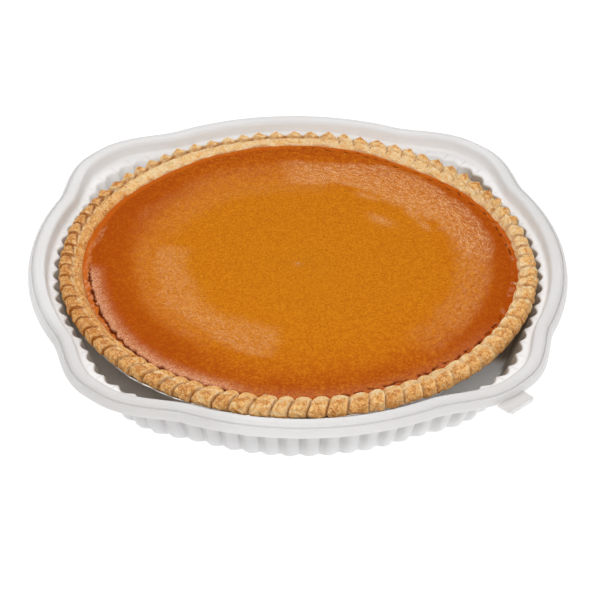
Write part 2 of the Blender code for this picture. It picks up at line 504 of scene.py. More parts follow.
@dataclass(frozen=True)
class PanFoil:
    """Bright rolled aluminium foil, stained here and there by baking."""

    shade: tuple[float, float, float] = (0.90, 0.89, 0.875)
    stain: tuple[float, float, float] = (0.50, 0.42, 0.33)

    def made(self) -> bpy.types.Material:
        """The material, with rolling lines, crinkles and a few scorched drips."""
        finish = Finish(Slot.FOIL.value, Metallic=1.0)
        crinkle = finish.noise(90.0, 4.0, 0.6, 0.6)
        drips = finish.band(finish.noise(26.0, 4.0, 0.65), 0.60, 0.72)
        grey = finish.blend(finish.band(crinkle, 0.35, 0.7), self.shade, (0.78, 0.765, 0.745))
        # Painted shade, brown, on the pan's wall in the left gap.
        grey = finish.blend(finish.note("painted_gap_shade"), grey, (0.44, 0.33, 0.24))
        finish.set("Base Color", finish.blend(drips * 0.55, grey, self.stain))
        finish.set("Roughness", 0.27 + 0.16 * crinkle + 0.15 * drips)
        lines = finish.noise(160.0, 2.0, 0.5, 0.0, finish.stretched((1.0, 1.0, 0.05)))
        folds = finish.bump(crinkle, 0.0007, 0.55)
        finish.set("Normal", finish.bump(lines, 0.0002, 0.6, folds))
        return finish.material


@dataclass(frozen=True)
class BakedPastry:
    """Shortcrust baked pale gold, browner on what stands proud."""

    flour: tuple[float, float, float] = (0.98, 0.745, 0.43)
    pale: tuple[float, float, float] = (0.96, 0.62, 0.265)
    gold: tuple[float, float, float] = (0.91, 0.465, 0.135)
    brown: tuple[float, float, float] = (0.60, 0.205, 0.036)
    # The crease colour is partly browning and partly painted shade.
    crease: tuple[float, float, float] = (0.42, 0.125, 0.018)

    def made(self) -> bpy.types.Material:
        """The material: browning and painted light by the notes on the mesh, broken up by crumb and blisters."""
        finish = Finish(Slot.PASTRY.value, Roughness=0.62, IOR=1.42, Specular_IOR_Level=0.15)
        cloud = finish.noise(110.0, 4.0, 0.6)
        blotch = finish.noise(330.0, 4.0, 0.65, 0.5)
        crumb = finish.noise(760.0, 3.0, 0.7)
        bake_and_painted_light = finish.note("bake_and_painted_light") + 1.3 * (cloud - 0.5) + 2.6 * (blotch - 0.5) + 2.3 * (crumb - 0.5)
        body = finish.blend(finish.band(bake_and_painted_light, -0.25, 0.15), self.flour, self.pale)
        body = finish.blend(finish.band(bake_and_painted_light, 0.10, 0.60), body, self.gold)
        body = finish.blend(finish.band(bake_and_painted_light, 0.50, 1.15) * 0.9, body, self.brown)
        freckles = finish.band(finish.noise(1250.0, 2.0, 0.6), 0.55, 0.66)
        body = finish.blend(freckles * 0.45, body, (0.60, 0.20, 0.035))
        body = finish.blend(finish.band(finish.noise(900.0, 2.0, 0.6), 0.46, 0.36) * 0.65, body, self.flour)
        # Creases: browning and painted shade.
        crease = finish.maths("MULTIPLY", finish.note("crease"), 0.50 + 1.1 * (blotch - 0.12), clamp=True)
        body = finish.blend(crease, body, self.crease)
        body = finish.blend(finish.note("stain") * 0.8, body, (0.50, 0.14, 0.02))
        finish.set("Base Color", body)
        finish.set("Roughness", 0.50 + 0.25 * crumb)
        lumps = finish.bump(cloud + 1.1 * blotch, 0.0013, 0.9)
        finish.set("Normal", finish.bump(crumb, 0.0009, 0.9, lumps))
        return finish.material


@dataclass(frozen=True)
class PumpkinCustard:
    """Set pumpkin custard: amber in the middle, red-brown where its skin baked round the edge."""

    middle_x: float = 6.0 * MM
    # Painted shade in the cracks.
    painted_crack_shade: tuple[float, float, float] = (0.125, 0.018, 0.003)
    speck: tuple[float, float, float] = (0.16, 0.035, 0.004)
    # Painted sheen, laid into the colour where the skin is glossy.
    skin_sheen: tuple[float, float, float] = (0.84, 0.43, 0.145)
    # Painted sheen by the left crack's lip, and painted glints.
    painted_lip_sheen: tuple[float, float, float] = (0.88, 0.50, 0.31)

    def made(self) -> bpy.types.Material:
        """The material, its shades running outwards in rings that wander."""
        finish = Finish(Slot.CUSTARD.value, IOR=1.38, Specular_IOR_Level=0.02, Coat_Roughness=0.24, Coat_IOR=1.4)
        flat = finish.node("Mapping", Vector=finish.place(), Location=(-self.middle_x, 0, 0), Scale=(1, 1, 0))
        reach = finish.node("VectorMath", {"operation": "LENGTH"}, output="Value", _0=flat)
        wander = finish.noise(17.0, 3.0, 0.55)
        ring = (reach + 0.016 * (wander - 0.5)) / 0.14
        body = finish.shades(
            ring,
            [
                (0.00, (0.660, 0.210, 0.0058)),
                (0.30, (0.640, 0.196, 0.0048)),
                (0.60, (0.630, 0.187, 0.0048)),
                (0.71, (0.608, 0.164, 0.0041)),
                (0.79, (0.562, 0.135, 0.0041)),
                (0.86, (0.492, 0.094, 0.0035)),
                (0.93, (0.444, 0.074, 0.0029)),
                (1.00, (0.418, 0.065, 0.0035)),
            ],
        )
        mottle = finish.noise(190.0, 6.0, 0.68, 0.3)
        pores = finish.noise(620.0, 3.0, 0.65)
        body = finish.blend(finish.band(mottle, 0.46, 0.70) * 0.24, body, (0.82, 0.31, 0.013))
        body = finish.blend(finish.band(mottle, 0.50, 0.30) * 0.22, body, (0.42, 0.07, 0.002))
        body = finish.blend(finish.band(pores, 0.48, 0.64) * 0.30, body, (0.84, 0.33, 0.016))
        body = finish.blend(finish.band(pores, 0.52, 0.36) * 0.34, body, (0.43, 0.08, 0.002))
        body = finish.blend(finish.note("browned"), body, (0.43, 0.065, 0.0015))
        body = finish.blend(finish.note("orange") * 0.7, body, (0.66, 0.145, 0.011))
        unit = finish.node("VectorMath", {"operation": "NORMALIZE"}, _0=flat)
        polar = finish.node("VectorMath", {"operation": "SCALE"}, _0=unit, Scale=0.09)
        upward = finish.node("CombineXYZ", Z=reach * 2.4)
        polar = finish.node("VectorMath", {"operation": "ADD"}, _0=polar, _1=upward)
        streaks = finish.noise(300.0, 4.0, 0.70, 0.6, polar)
        sparkle = finish.noise(1250.0, 2.0, 0.7)
        sheen = finish.note("sheen")
        gloss = sheen * (0.22 + 0.80 * finish.band(streaks, 0.42, 0.60)) * (0.28 + 1.05 * finish.band(sparkle, 0.44, 0.60))
        # Painted sheen: the gloss also lightens the colour, beside the coat's real gloss.
        body = finish.blend(gloss * 0.66, body, self.skin_sheen)
        # Painted sheen by the crack's lip, and painted glints near the edge.
        body = finish.blend(finish.note("painted_sheen_and_glints") * (0.28 + 1.0 * finish.band(sparkle, 0.44, 0.58)), body, self.painted_lip_sheen)
        specks = finish.band(finish.cells(330.0), 0.115, 0.06) * finish.band(finish.noise(70.0, 2.0), 0.46, 0.58)
        body = finish.blend(specks * 0.55, body, self.speck)
        # Painted shade in the cracks and gaps by the edge.
        body = finish.blend(finish.note("painted_crack_shade"), body, self.painted_crack_shade)
        finish.set("Base Color", body)
        fine = finish.noise(1100.0, 2.0, 0.6)
        finish.set("Roughness", 0.50 - 0.14 * gloss + 0.10 * (mottle - 0.5) + 0.10 * fine)
        finish.set("Coat Weight", gloss * 0.45)
        swells = finish.bump(streaks, 0.0012, 0.45)
        finish.set("Normal", finish.bump(fine + pores + 0.7 * mottle, 0.0007, 0.7, swells))
        return finish.material


@dataclass(frozen=True)
class GroundSpice:
    """Dark brown ground spice."""

    shade: tuple[float, float, float] = (0.10, 0.022, 0.004)

    def made(self) -> bpy.types.Material:
        """The material, plain and dull."""
        finish = Finish("ground_spice", Roughness=0.7, Specular_IOR_Level=0.1)
        finish.shader.inputs["Base Color"].default_value = (*self.shade, 1.0)
        return finish.material


@dataclass(frozen=True)
class PaleFloor:
    """A plain white floor."""

    shade: tuple[float, float, float] = (0.22, 0.22, 0.22)
    glow: float = 0.90

    def made(self) -> bpy.types.Material:
        """The material, lit a little from within so that shadows on it stay faint."""
        finish = Finish("pale_floor", Roughness=0.9, Specular_IOR_Level=0.0)
        finish.shader.inputs["Base Color"].default_value = (*self.shade, 1.0)
        finish.shader.inputs["Emission Color"].default_value = (1.0, 1.0, 1.0, 1.0)
        finish.shader.inputs["Emission Strength"].default_value = self.glow
        return finish.material


def dress(piece: bpy.types.Object, material: bpy.types.Material, slot: Slot, *stands_for: Node) -> bpy.types.Object:
    """Gives a piece its finish and its place in the frame.

    Args:
        piece: The piece.
        material: Its finish.
        slot: Not used.
        stands_for: The CAD nodes that it replaces.

    Returns:
        The piece.
    """
    piece.data.materials.clear()
    piece.data.materials.append(material)
    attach(piece, "root")
    if stands_for:
        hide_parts(*(node.value for node in stands_for))
    LOG.info("%s: %d faces", piece.name, len(piece.data.polygons))
    return piece


# ---------------------------------------------------------------- the tray


@dataclass
class Tray:
    """The fluted tray, pressed from one sheet, whose round outline swells into four lobes."""

    side_radius: float = 161.3 * MM
    lobe_reach: float = 13.3 * MM
    lobes: int = 4
    lobe_crest_deg: float = 2.0
    lobe_foot_deg: float = 19.5
    height: float = 46.5 * MM
    wall: float = 0.8 * MM
    flutes: int = 76
    steps_per_flute: int = 12
    ledge_height: float = 38.2 * MM
    neck: tuple[float, float, float] = (156.4 * MM, 9.2 * MM, 3.4 * MM)
    foot: tuple[float, float, float] = (142.2 * MM, 8.0 * MM, 2.6 * MM)
    flange_height: float = 39.6 * MM
    flange_reach: float = 10.9 * MM
    tab_deg: float = -49.3
    tab_width: float = 22.0 * MM
    tab_reach: float = 9.6 * MM
    tab_inset: float = 0.6 * MM

    def rise(self, angle: Array) -> Array:
        """How far the outline has swelled into a lobe, from 0 along a side to 1."""
        spacing = 360 / self.lobes
        from_lobe = np.abs(np.degrees(angle) % spacing - spacing / 2)
        return 1 - eased((from_lobe - self.lobe_crest_deg) / (self.lobe_foot_deg - self.lobe_crest_deg))

    def stations(self) -> Array:
        """The sheet's section, outwards from its middle.

        Returns:
            Rows of (reach, height, lobe share, flute depth, distance outside the outline).
        """
        foot, foot_lobe, foot_depth = self.foot
        neck, neck_lobe, neck_depth = self.neck
        side = self.side_radius

        def level(reach: float) -> tuple[float, float, float, float, float]:
            share = reach / foot
            return (reach, self.wall, foot_lobe * share**4, foot_depth * share**8, 0.0)

        def rim(outside: float, height: float) -> tuple[float, float, float, float, float]:
            return (side + outside * MM, height * MM, self.lobe_reach, 0.0, outside * MM)

        rows = [level(share * foot) for share in (0.0, 0.4, 0.75, 0.92)]
        rows.append((foot, self.wall, foot_lobe, foot_depth, 0.0))
        rows.append((neck, self.ledge_height, neck_lobe, neck_depth, 0.0))
        rows += [
            rim(-1.6, 38.2),
            rim(-0.4, 45.3),
            rim(0.9, 46.5),
            rim(6.2, 46.45),
            rim(7.4, 45.5),
            rim(8.0, 43.9),
            rim(8.7, 45.1),
            rim(9.9, 44.6),
            rim(10.9, 39.6),
        ]
        reaches = {4: 3.0, 5: 1.3, 6: 1.6, 7: 1.2, 8: 1.6, 9: 1.2, 10: 0.5, 11: 0.3, 12: 0.5, 13: 1.2}
        curved = rounded(rows, {row: reach * MM for row, reach in reaches.items()}, 3)
        wall_start = next(i for i in range(len(curved)) if curved[i, 1] > 5 * MM)
        a, b = curved[wall_start - 1], curved[wall_start]
        return np.insert(curved, wall_start, [a + (b - a) * t for t in (0.33, 0.66)], axis=0)

    def underside(self, top: Array) -> Array:
        """The same section one wall's thickness below, from the flange back to the middle."""
        ahead = np.diff(top[:, :2], axis=0)
        ahead /= np.linalg.norm(ahead, axis=1)[:, None]
        before = np.vstack([[1.0, 0.0], ahead])
        after = np.vstack([ahead, ahead[-1]])
        along = before + after
        along /= np.linalg.norm(along, axis=1)[:, None]
        across = np.stack([along[:, 1], -along[:, 0]], axis=1)
        square = np.abs(along[:, 0] * after[:, 0] + along[:, 1] * after[:, 1])
        moved = across * (self.wall / np.maximum(square, 0.7))[:, None]
        under = top.copy()
        under[:, :2] += moved
        under[:, 4] += moved[:, 0]
        under[-1, 1] = top[-1, 1]
        return under[::-1]

    def build(self) -> bpy.types.Object:
        """The sheet with its thickness."""
        top = self.stations()
        rows = np.vstack([top, self.underside(top)])
        turning = Turning("tray_shell", rows[:, :2], self.flutes * self.steps_per_flute)
        turning.spin()
        angle = turning.angle
        reach, height, lobe, depth, outside = (rows[turning.line, column] for column in range(5))
        rise = self.rise(angle)
        even = angle - 0.0055 * np.sin(self.lobes * angle)
        cusp = np.sqrt(np.cos(self.flutes * even / 2) ** 2 + 0.004)
        swell = lobe * rise - depth * (1 - cusp)
        step = math.radians(0.05)
        growth = self.lobe_reach * (self.rise(angle + step) - self.rise(angle - step)) / (2 * step)
        outline = self.side_radius + self.lobe_reach * rise
        length = np.hypot(outline, growth)
        rimmed = lobe >= self.lobe_reach * 0.999
        out_part = np.where(rimmed, outside * outline / length, outside)
        side_part = np.where(rimmed, -outside * growth / length, 0.0)
        reach = reach - outside + swell + out_part
        height = height + 0.12 * MM * ripple(angle, 5, 3, 14) * eased((height - 0.03) / 0.01)
        places = round_places(reach, angle, height)
        places[:, 0] -= side_part * np.sin(angle)
        places[:, 1] += side_part * np.cos(angle)
        turning.place(places)
        # Painted shade, grey: all over the outside of the flutes, more on one flank and in the crease of each, in the
        # creases inside, and over the rim, most on the right and on the front-left lobe.
        from_crease = (self.flutes * even / FULL_TURN + 0.5) % 1.0
        fluted = (depth > 1 * MM) * eased((height - 2 * MM) / (5 * MM)) * (height < 38.5 * MM)
        outside_face = turning.line >= len(top)
        flank = eased(from_crease / 0.03) * (1 - eased((from_crease - 0.22) / 0.22))
        notch = np.exp(-((np.minimum(from_crease, 1 - from_crease) / 0.05) ** 2))
        painted_tray_shade = fluted * np.where(outside_face, 0.42 + 0.34 * np.maximum(flank, 1.5 * notch), 0.45 * notch)
        rim_shade_mask = rimmed * (height > 38.5 * MM) * eased((outside + 0.9 * MM) / (1.5 * MM))
        grey = 0.34 + 0.16 * reach_between(angle, 296, 385, 20) + 0.22 * reach_between(angle, 207, 247, 12)
        turning.note("painted_tray_shade", np.maximum(painted_tray_shade, rim_shade_mask * grey))
        # Painted shade, brown, inside the tray: on the left on the wall below the ledge, strongest near its top; on the
        # right down the whole wall and over the floor next to it.
        left_gap = 0.75 * reach_between(angle, 160, 262, 14) * eased((38.1 * MM - height) / (1.5 * MM))
        left_gap = left_gap * (0.65 + 0.35 * eased((height - 20 * MM) / (8 * MM)))
        on_wall = eased((height - 1.5 * MM) / (4 * MM))
        right_gap = on_wall * reach_between(angle, 317, 400, 7) + (1 - on_wall) * reach_between(angle, 340, 400, 5)
        right_gap = right_gap * 0.90 * eased((38.1 * MM - height) / (1.0 * MM))
        turning.note("shaded", np.maximum(left_gap, right_gap) * ~outside_face)
        return turning.finish(sharp_deg=48)

    def build_tab(self) -> bpy.types.Object:
        """The flat pull tab on the front right lobe, its outer corners rounded."""
        angle = math.radians(self.tab_deg)
        flange = self.side_radius + self.lobe_reach * float(self.rise(np.array([angle]))[0]) + self.flange_reach
        length = self.tab_reach + self.tab_inset
        deselect_all()
        bpy.ops.mesh.primitive_cube_add(size=1.0, location=(length / 2 - self.tab_inset, 0, 0))
        tab = named(bpy.context.object, "pull_tab")
        tab.scale = (length, self.tab_width, self.wall)
        bpy.ops.object.transform_apply(location=True, rotation=True, scale=True)
        bpy.ops.object.mode_set(mode="EDIT")
        bpy.ops.mesh.select_all(action="DESELECT")
        bpy.ops.object.mode_set(mode="OBJECT")
        for edge in tab.data.edges:
            first, second = (tab.data.vertices[i].co for i in edge.vertices)
            edge.select = first.x > 0 and second.x > 0 and abs(first.z - second.z) > self.wall / 2
        bpy.ops.object.mode_set(mode="EDIT")
        bpy.ops.mesh.select_mode(type="EDGE")
        bpy.ops.mesh.bevel(offset=2.0 * MM, segments=8, affect="EDGES")
        bpy.ops.object.mode_set(mode="OBJECT")
        soften = tab.modifiers.new("soften", "BEVEL")
        soften.width = 0.22 * MM
        soften.segments = 3
        soften.limit_method = "ANGLE"
        bpy.ops.object.modifier_apply(modifier=soften.name)
        tab.data.transform(
            Matrix.Translation(
                (flange * math.cos(angle), flange * math.sin(angle), self.flange_height + self.wall)
            )
            @ Matrix.Rotation(angle, 4, "Z")
        )
        bpy.ops.object.shade_smooth_by_angle(angle=math.radians(35))
        # Painted shade over the whole tab.
        painted_tray_shade = tab.data.attributes.new("painted_tray_shade", "FLOAT", "POINT")
        painted_tray_shade.data.foreach_set("value", np.full(len(tab.data.vertices), 0.55, np.float32))
        return tab

    def dress(self) -> None:
        """Builds both pieces and gives them their plastic."""
        plastic = WhitePlastic().made()
        dress(self.build(), plastic, Slot.PLASTIC, Node.TRAY)
        dress(self.build_tab(), plastic, Slot.PLASTIC)


# ---------------------------------------------------------------- the pan


@dataclass
class FoilPan:
    """The foil pan under the crust, drawn from fine sheet and rolled over at its edge."""

    floor_radius: float = 121.6 * MM
    neck_radius: float = 141.9 * MM
    floor_height: float = 1.3 * MM
    flange_height: float = 36.9 * MM
    flange_radius: float = 149.6 * MM
    bead_radius: float = 150.7 * MM
    bead_height: float = 36.65 * MM
    bead_thickness: float = 0.75 * MM
    foil: float = 0.35 * MM
    steps: int = 960
    pleats: int = 172

    def section(self) -> Array:
        """The closed section: inside from the middle out, round the bead, and back underneath."""
        rows = [
            (0.0, self.floor_height),
            (50 * MM, self.floor_height),
            (105 * MM, self.floor_height),
            (self.floor_radius, self.floor_height),
            (self.neck_radius, self.flange_height),
            (self.flange_radius, self.flange_height),
        ]
        inside = rounded(rows, {3: 5.0 * MM, 4: 1.4 * MM}, 4)
        wall_start = next(i for i in range(len(inside)) if inside[i, 1] > 6 * MM)
        a, b = inside[wall_start - 1], inside[wall_start]
        inside = np.insert(inside, wall_start, [a + (b - a) * t for t in (0.25, 0.5, 0.75)], axis=0)
        turns = np.radians([110, 75, 40, 5, -30, -65, -100, -135, -170])
        bead = np.stack(
            [
                self.bead_radius + self.bead_thickness * np.cos(turns),
                self.bead_height + self.bead_thickness * np.sin(turns),
            ],
            axis=1,
        )
        beneath = inside[::-1].copy()
        beneath[:, 1] -= self.foil
        beneath[:, 0] += self.foil * 0.8 * (beneath[:, 0] > self.floor_radius - 6 * MM) * (beneath[:, 1] < self.flange_height - 1.5 * MM)
        return np.vstack([inside, bead, beneath])

    def build(self) -> bpy.types.Object:
        """The pan, with the fine upright pleats of its wall and an uneven bead."""
        rows = self.section()
        turning = Turning("pan_of_foil", rows, self.steps)
        turning.spin()
        angle = turning.angle
        reach, height = rows[turning.line, 0], rows[turning.line, 1]
        wall = eased((height - 3 * MM) / (8 * MM)) * (reach < self.neck_radius + 1 * MM)
        drift = self.pleats * angle + 1.6 * ripple(angle, 11, 2, 9)
        pleat = (0.5 + 0.5 * np.cos(drift)) ** 3 * (0.55 + 0.45 * ripple(angle, 12, 5, 40))
        reach = reach + wall * 0.16 * MM * pleat
        edge = reach > self.flange_radius - 1 * MM
        reach = reach + edge * (0.16 * MM * ripple(angle, 13, 20, 90) + 0.25 * MM * ripple(angle, 14, 2, 6))
        reach = reach - edge * 1.3 * MM * reach_between(angle, 280, 577, 8)
        height = height + edge * 0.12 * MM * ripple(angle, 15, 12, 60)
        turning.place(round_places(reach, angle, height))
        # Painted shade on the pan in the left gap, darker towards the top of its wall.
        upper = eased((height - 12 * MM) / (20 * MM)) * (reach < self.neck_radius + 1 * MM)
        turning.note("painted_gap_shade", (0.28 + 0.42 * upper) * reach_between(angle, 160, 250, 18) * ~edge)
        return turning.finish()

    def dress(self) -> None:
        """Builds the pan and gives it its foil."""
        dress(self.build(), PanFoil().made(), Slot.FOIL, Node.PAN)


# ---------------------------------------------------------------- what the crust and filling share


@dataclass(frozen=True)
class FillingLine:
    """Where the filling's edge meets the crust, which the baking left wandering in and out."""

    radius: float = 137.8 * MM
    swings: tuple[tuple[float, float, float], ...] = (
        (0.0, 21.0, 2.6),
        (52.0, 15.0, -3.4),
        (130.0, 20.0, -3.1),
        (160.0, 12.0, -1.0),
        (215.0, 16.0, 0.5),
        (326.0, 16.0, 1.6),
    )

    def reach(self, angle: Array) -> Array:
        """The edge's distance from the axis at each angle."""
        swing = sum(amount * hill(angle, middle, width) for middle, width, amount in self.swings)
        return self.radius + (swing + 0.22 * ripple(angle, 21, 14, 46)) * MM


# ---------------------------------------------------------------- the crust


@dataclass
class Crust:
    """The pastry shell: its lining of the pan, the pale roll inside its rim, and the stamped crimps.

    Each crimp climbs gently counter-clockwise to its crest and drops steeply into the next crease.
    At the front and the right the crimps are pillows that reach the filling. At the back right a
    row of beads lies inside them. Elsewhere a wavy roll does, and small webs run from it out into
    the creases.
    """

    crimps: int = 80
    steps_per_crimp: int = 20
    outer_radius: float = 152.4 * MM
    underside_height: float = 37.9 * MM
    lining_foot: float = 120.4 * MM
    lining_neck: float = 140.9 * MM
    floor_height: float = 2.1 * MM
    pocket_radius: float = 115.6 * MM
    pocket_height: float = 6.9 * MM

    def section(self) -> Array:
        """The section, from the pocket's middle over the rim and back under the lining.

        Returns:
            Rows of (crest reach, crest height, crease reach, crease height, share of the filling
            line's swing), in metres but for the share.
        """
        slope = [
            (136.2, 38.6, 136.2, 38.6, 1.0),
            (137.1, 40.8, 137.1, 40.8, 1.0),
            (137.9, 42.2, 137.9, 42.2, 0.96),
            (138.8, 43.3, 138.8, 43.2, 0.82),
            (139.8, 44.3, 139.8, 44.1, 0.55),
            (140.8, 45.0, 140.8, 44.6, 0.28),
            (141.8, 45.3, 141.8, 44.6, 0.10),
        ]
        block = [
            (142.8, 45.1, 142.6, 43.9, 0.0),
            (143.6, 45.5, 143.4, 43.2, 0.0),
            (144.5, 46.1, 144.2, 42.9, 0.0),
            (145.6, 46.5, 145.2, 42.7, 0.0),
            (146.8, 46.65, 146.3, 42.6, 0.0),
            (148.0, 46.6, 147.4, 42.4, 0.0),
            (149.2, 46.4, 148.5, 42.1, 0.0),
            (150.4, 45.9, 149.4, 41.6, 0.0),
            (151.4, 45.0, 150.1, 41.0, 0.0),
            (152.1, 43.7, 150.6, 40.4, 0.0),
            (152.4, 42.0, 150.8, 39.8, 0.0),
            (152.4, 40.3, 150.9, 39.2, 0.0),
            (152.1, 38.9, 150.8, 38.6, 0.0),
            (151.4, 38.1, 150.5, 38.0, 0.0),
        ]
        visible = through(np.array(slope + block), 2)
        visible[:, :4] *= MM
        pocket, top = self.pocket_radius, self.pocket_height
        start = [
            (0.0, top, 0.0, top, 0.0),
            (pocket * 0.5, top, pocket * 0.5, top, 0.0),
            (pocket - 1 * MM, top, pocket - 1 * MM, top, 0.0),
            (pocket + 0.6 * MM, top + 1 * MM, pocket + 0.6 * MM, top + 1 * MM, 0.0),
        ]
        under = self.underside_height
        neck, foot, floor = self.lining_neck, self.lining_foot, self.floor_height
        end = [
            (149.8 * MM, under, 149.4 * MM, under, 0.0),
            (neck, under, neck, under, 0.0),
            (foot, floor, foot, floor, 0.0),
            (foot * 0.5, floor, foot * 0.5, floor, 0.0),
            (0.0, floor, 0.0, floor, 0.0),
        ]
        return np.vstack([start, visible, end])

    def lean(self, angle: Array, inward: Array) -> Array:
        """How far each point is carried round, so that the creases slant and their spacing varies.

        Args:
            angle: The angles before, in radians.
            inward: 0 at the rim's outer edge and 1 at the roll.

        Returns:
            The turns to add, in radians.
        """
        slant = 0.1 + 1.75 * np.cos(np.radians(turn_from(angle, 233.7)))
        return np.radians(slant * (inward - 0.5) - 0.38 * ripple(angle, 31, 9, 30))

    def tiled(self, share: Array, crimp: Array, pillowed: Array) -> Array:
        """The height across a crimp of the stamped kind: flat, with narrow creases, highest near its end.

        Args:
            share: How far each point is across its crimp, from 0 to 1.
            crimp: The number of its crimp.
            pillowed: How much the crimp is a pillow, whose creases are narrower.

        Returns:
            The height from 0 to 1.
        """
        crest = 0.892 + 0.008 * pillowed + 0.02 * self.drawn(crimp, 41)
        climb = np.clip(share / crest, 0, 1)
        drop = np.clip((1 - share) / (1 - crest), 0, 1)
        edge = 1 - (1 - np.clip(climb / 0.15, 0, 1)) ** 2
        return np.where(share < crest, edge * (0.68 + 0.32 * climb), 1 - (1 - drop) ** 2.2)

    def drawn(self, crimp: Array, seed: int) -> Array:
        """A seeded number from -1 to 1 for each crimp."""
        return np.random.default_rng(seed).uniform(-1, 1, self.crimps)[crimp]

    def build(self) -> bpy.types.Object:
        """The shell, with its notes on browning and painted light, creases with painted shade, and stains."""
        rows = self.section()
        turning = Turning("pastry_crust", (rows[:, :2] + rows[:, 2:4]) / 2, self.crimps * self.steps_per_crimp)
        turning.spin()
        crest_reach, crest_height, crease_reach, crease_height, swing = (
            rows[turning.line, column] for column in range(5)
        )
        column = np.round(turning.angle * self.crimps * self.steps_per_crimp / FULL_TURN).astype(int)
        share = (column % self.steps_per_crimp) / self.steps_per_crimp
        crimp = column // self.steps_per_crimp % self.crimps
        inward = np.clip((self.outer_radius - crest_reach) / (self.outer_radius - 141.8 * MM), 0, 1)
        rim_zone = (crest_reach > 136 * MM) * (crest_height > 37.95 * MM)
        angle = turning.angle + rim_zone * self.lean(turning.angle, inward)

        pillowed = reach_between(angle, 224, 378, 12)
        beaded = reach_between(angle, 22, 74, 12) * (1 - pillowed)
        rolled = 1 - np.maximum(pillowed, beaded)
        toothed = reach_between(angle, 22, 140, 16)
        pointed = reach_between(angle, 16, 140, 20) * eased((crest_reach - 145 * MM) / (3 * MM))
        arch = np.sqrt(np.clip(4 * share * (1 - share), 0, 1))
        tip = 1 - np.abs(share - 0.52) / 0.52
        inner = 1 - eased((crest_reach - 141.6 * MM) / (2.6 * MM))
        swell = self.tiled(share, crimp, pillowed)
        swell = swell + (tip - swell) * 0.85 * pointed
        swell = swell + (arch - swell) * inner

        rim = eased((crest_reach - 142.2 * MM) / (1.2 * MM))
        crown = np.exp(-(((crest_reach - 141.6 * MM) / (2.3 * MM)) ** 2))
        bead = np.exp(-(((crest_reach - 140.9 * MM) / (1.3 * MM)) ** 2))
        brink = np.exp(-(((crest_reach - 138.9 * MM) / (1.5 * MM)) ** 2))
        groove = np.exp(-(((crest_reach - 143.0 * MM) / (0.7 * MM)) ** 2))
        sideways = np.abs(np.cos(angle)) ** 1.5
        crest_height = crest_height + MM * (
            crown * 0.95 * pillowed
            + brink * (0.5 * pillowed - 0.7 * beaded)
            + bead * (0.7 * beaded + 0.1 * rolled)
            - groove * (2.1 * beaded + 0.5 * rolled)
        )
        crease_height = crease_height - MM * (
            crown * (2.1 * pillowed + 0.2 * rolled) + brink * (0.9 * pillowed + 0.5 * beaded) + bead * 1.5 * beaded
        )
        crease_height = crease_height + (crest_height - crease_height) * 0.28 * sideways * rim * (1 - 0.75 * reach_between(angle, 292, 390, 20))
        scallop = eased((crest_reach - 148 * MM) / (2.5 * MM))
        crease_reach = crease_reach - MM * scallop * (1.5 * rolled + 0.5 * pillowed)
        crease_reach = crease_reach + MM * brink * 1.9 * pillowed
        depth = 1 - 0.14 * self.drawn(crimp, 42) * swell
        mixed = swell * (1 - rim + rim * depth) + rim * (1 - depth) * 0.5
        reach = crease_reach + (crest_reach - crease_reach) * mixed
        height = crease_height + (crest_height - crease_height) * mixed
        swung = FillingLine().reach(angle) - 137.9 * MM
        reach = reach + swing * swung

        webbed = np.maximum(rolled, 0.7 * reach_between(angle, 226, 300, 20))
        web = (1 - toothed) * (1 - share) + toothed * (0.25 + 0.75 * np.abs(2 * share - 1))
        tile_start = (142.6 + (3.1 + 0.7 * self.drawn(crimp, 47)) * web) * MM
        facet = webbed * (1 - eased((crest_reach - tile_start) / (0.7 * MM))) * (crest_reach > 142.0 * MM)
        roll = 44.7 * MM - 0.50 * (reach - 142.3 * MM)
        height = height + facet * (roll - height)
        fold = webbed * np.exp(-(((crest_reach - tile_start - 0.1 * MM) / (0.65 * MM)) ** 2)) * (1 - 0.8 * share)

        top = eased((height - 38.5 * MM) / (2 * MM)) * (crest_reach > 139 * MM)
        tilt = 0.35 * MM * self.drawn(crimp, 44) * swell
        height = height + top * rim * tilt
        height = height + top * 0.28 * MM * ripple(angle, 32, 2, 9)
        height = height + top * rolled * crown * 0.30 * MM * ripple(angle, 36, 50, 110)
        reach = reach + rim * (0.30 * MM * ripple(angle, 33, 3, 12) + 0.25 * MM * self.drawn(crimp, 45) * swell)
        places = round_places(reach, angle, height)
        rough = 0.36 * MM * grain(places, 3.4 * MM, 1) + 0.34 * MM * grain(places, 1.7 * MM, 2)
        visible = (crest_reach > 136.5 * MM) & (height > 37.95 * MM)
        side = reach_between(angle, 145, 250, 20)
        height = height + visible * rough * np.where(crest_reach > 142 * MM, 1.0 - 0.4 * side, 0.65)
        ragged = visible * (crest_reach > 150.0 * MM) * MM * grain(places, 1.8 * MM, 3)
        reach = reach + 0.75 * ragged
        dimple = rim * visible * np.maximum(grain(places, 3.4 * MM, 4) - 0.25, 0)
        height = height - 0.8 * MM * dimple
        torn = np.clip(1 - np.abs(grain(places, 4.4 * MM, 11)) / 0.13, 0, 1) * rim * visible
        height = height - (0.55 + 0.25 * pillowed) * MM * torn
        along = np.stack([angle * 60 * MM, reach * 3.2, np.zeros_like(reach)], axis=1)
        wrinkle = grain(along, 2.6 * MM, 13) + 0.6 * grain(along, 1.3 * MM, 14)
        slope = visible * (1 - rim) * (rolled + 0.8 * toothed * pillowed)
        height = height + 0.30 * MM * slope * wrinkle
        turning.place(round_places(reach, angle, height))

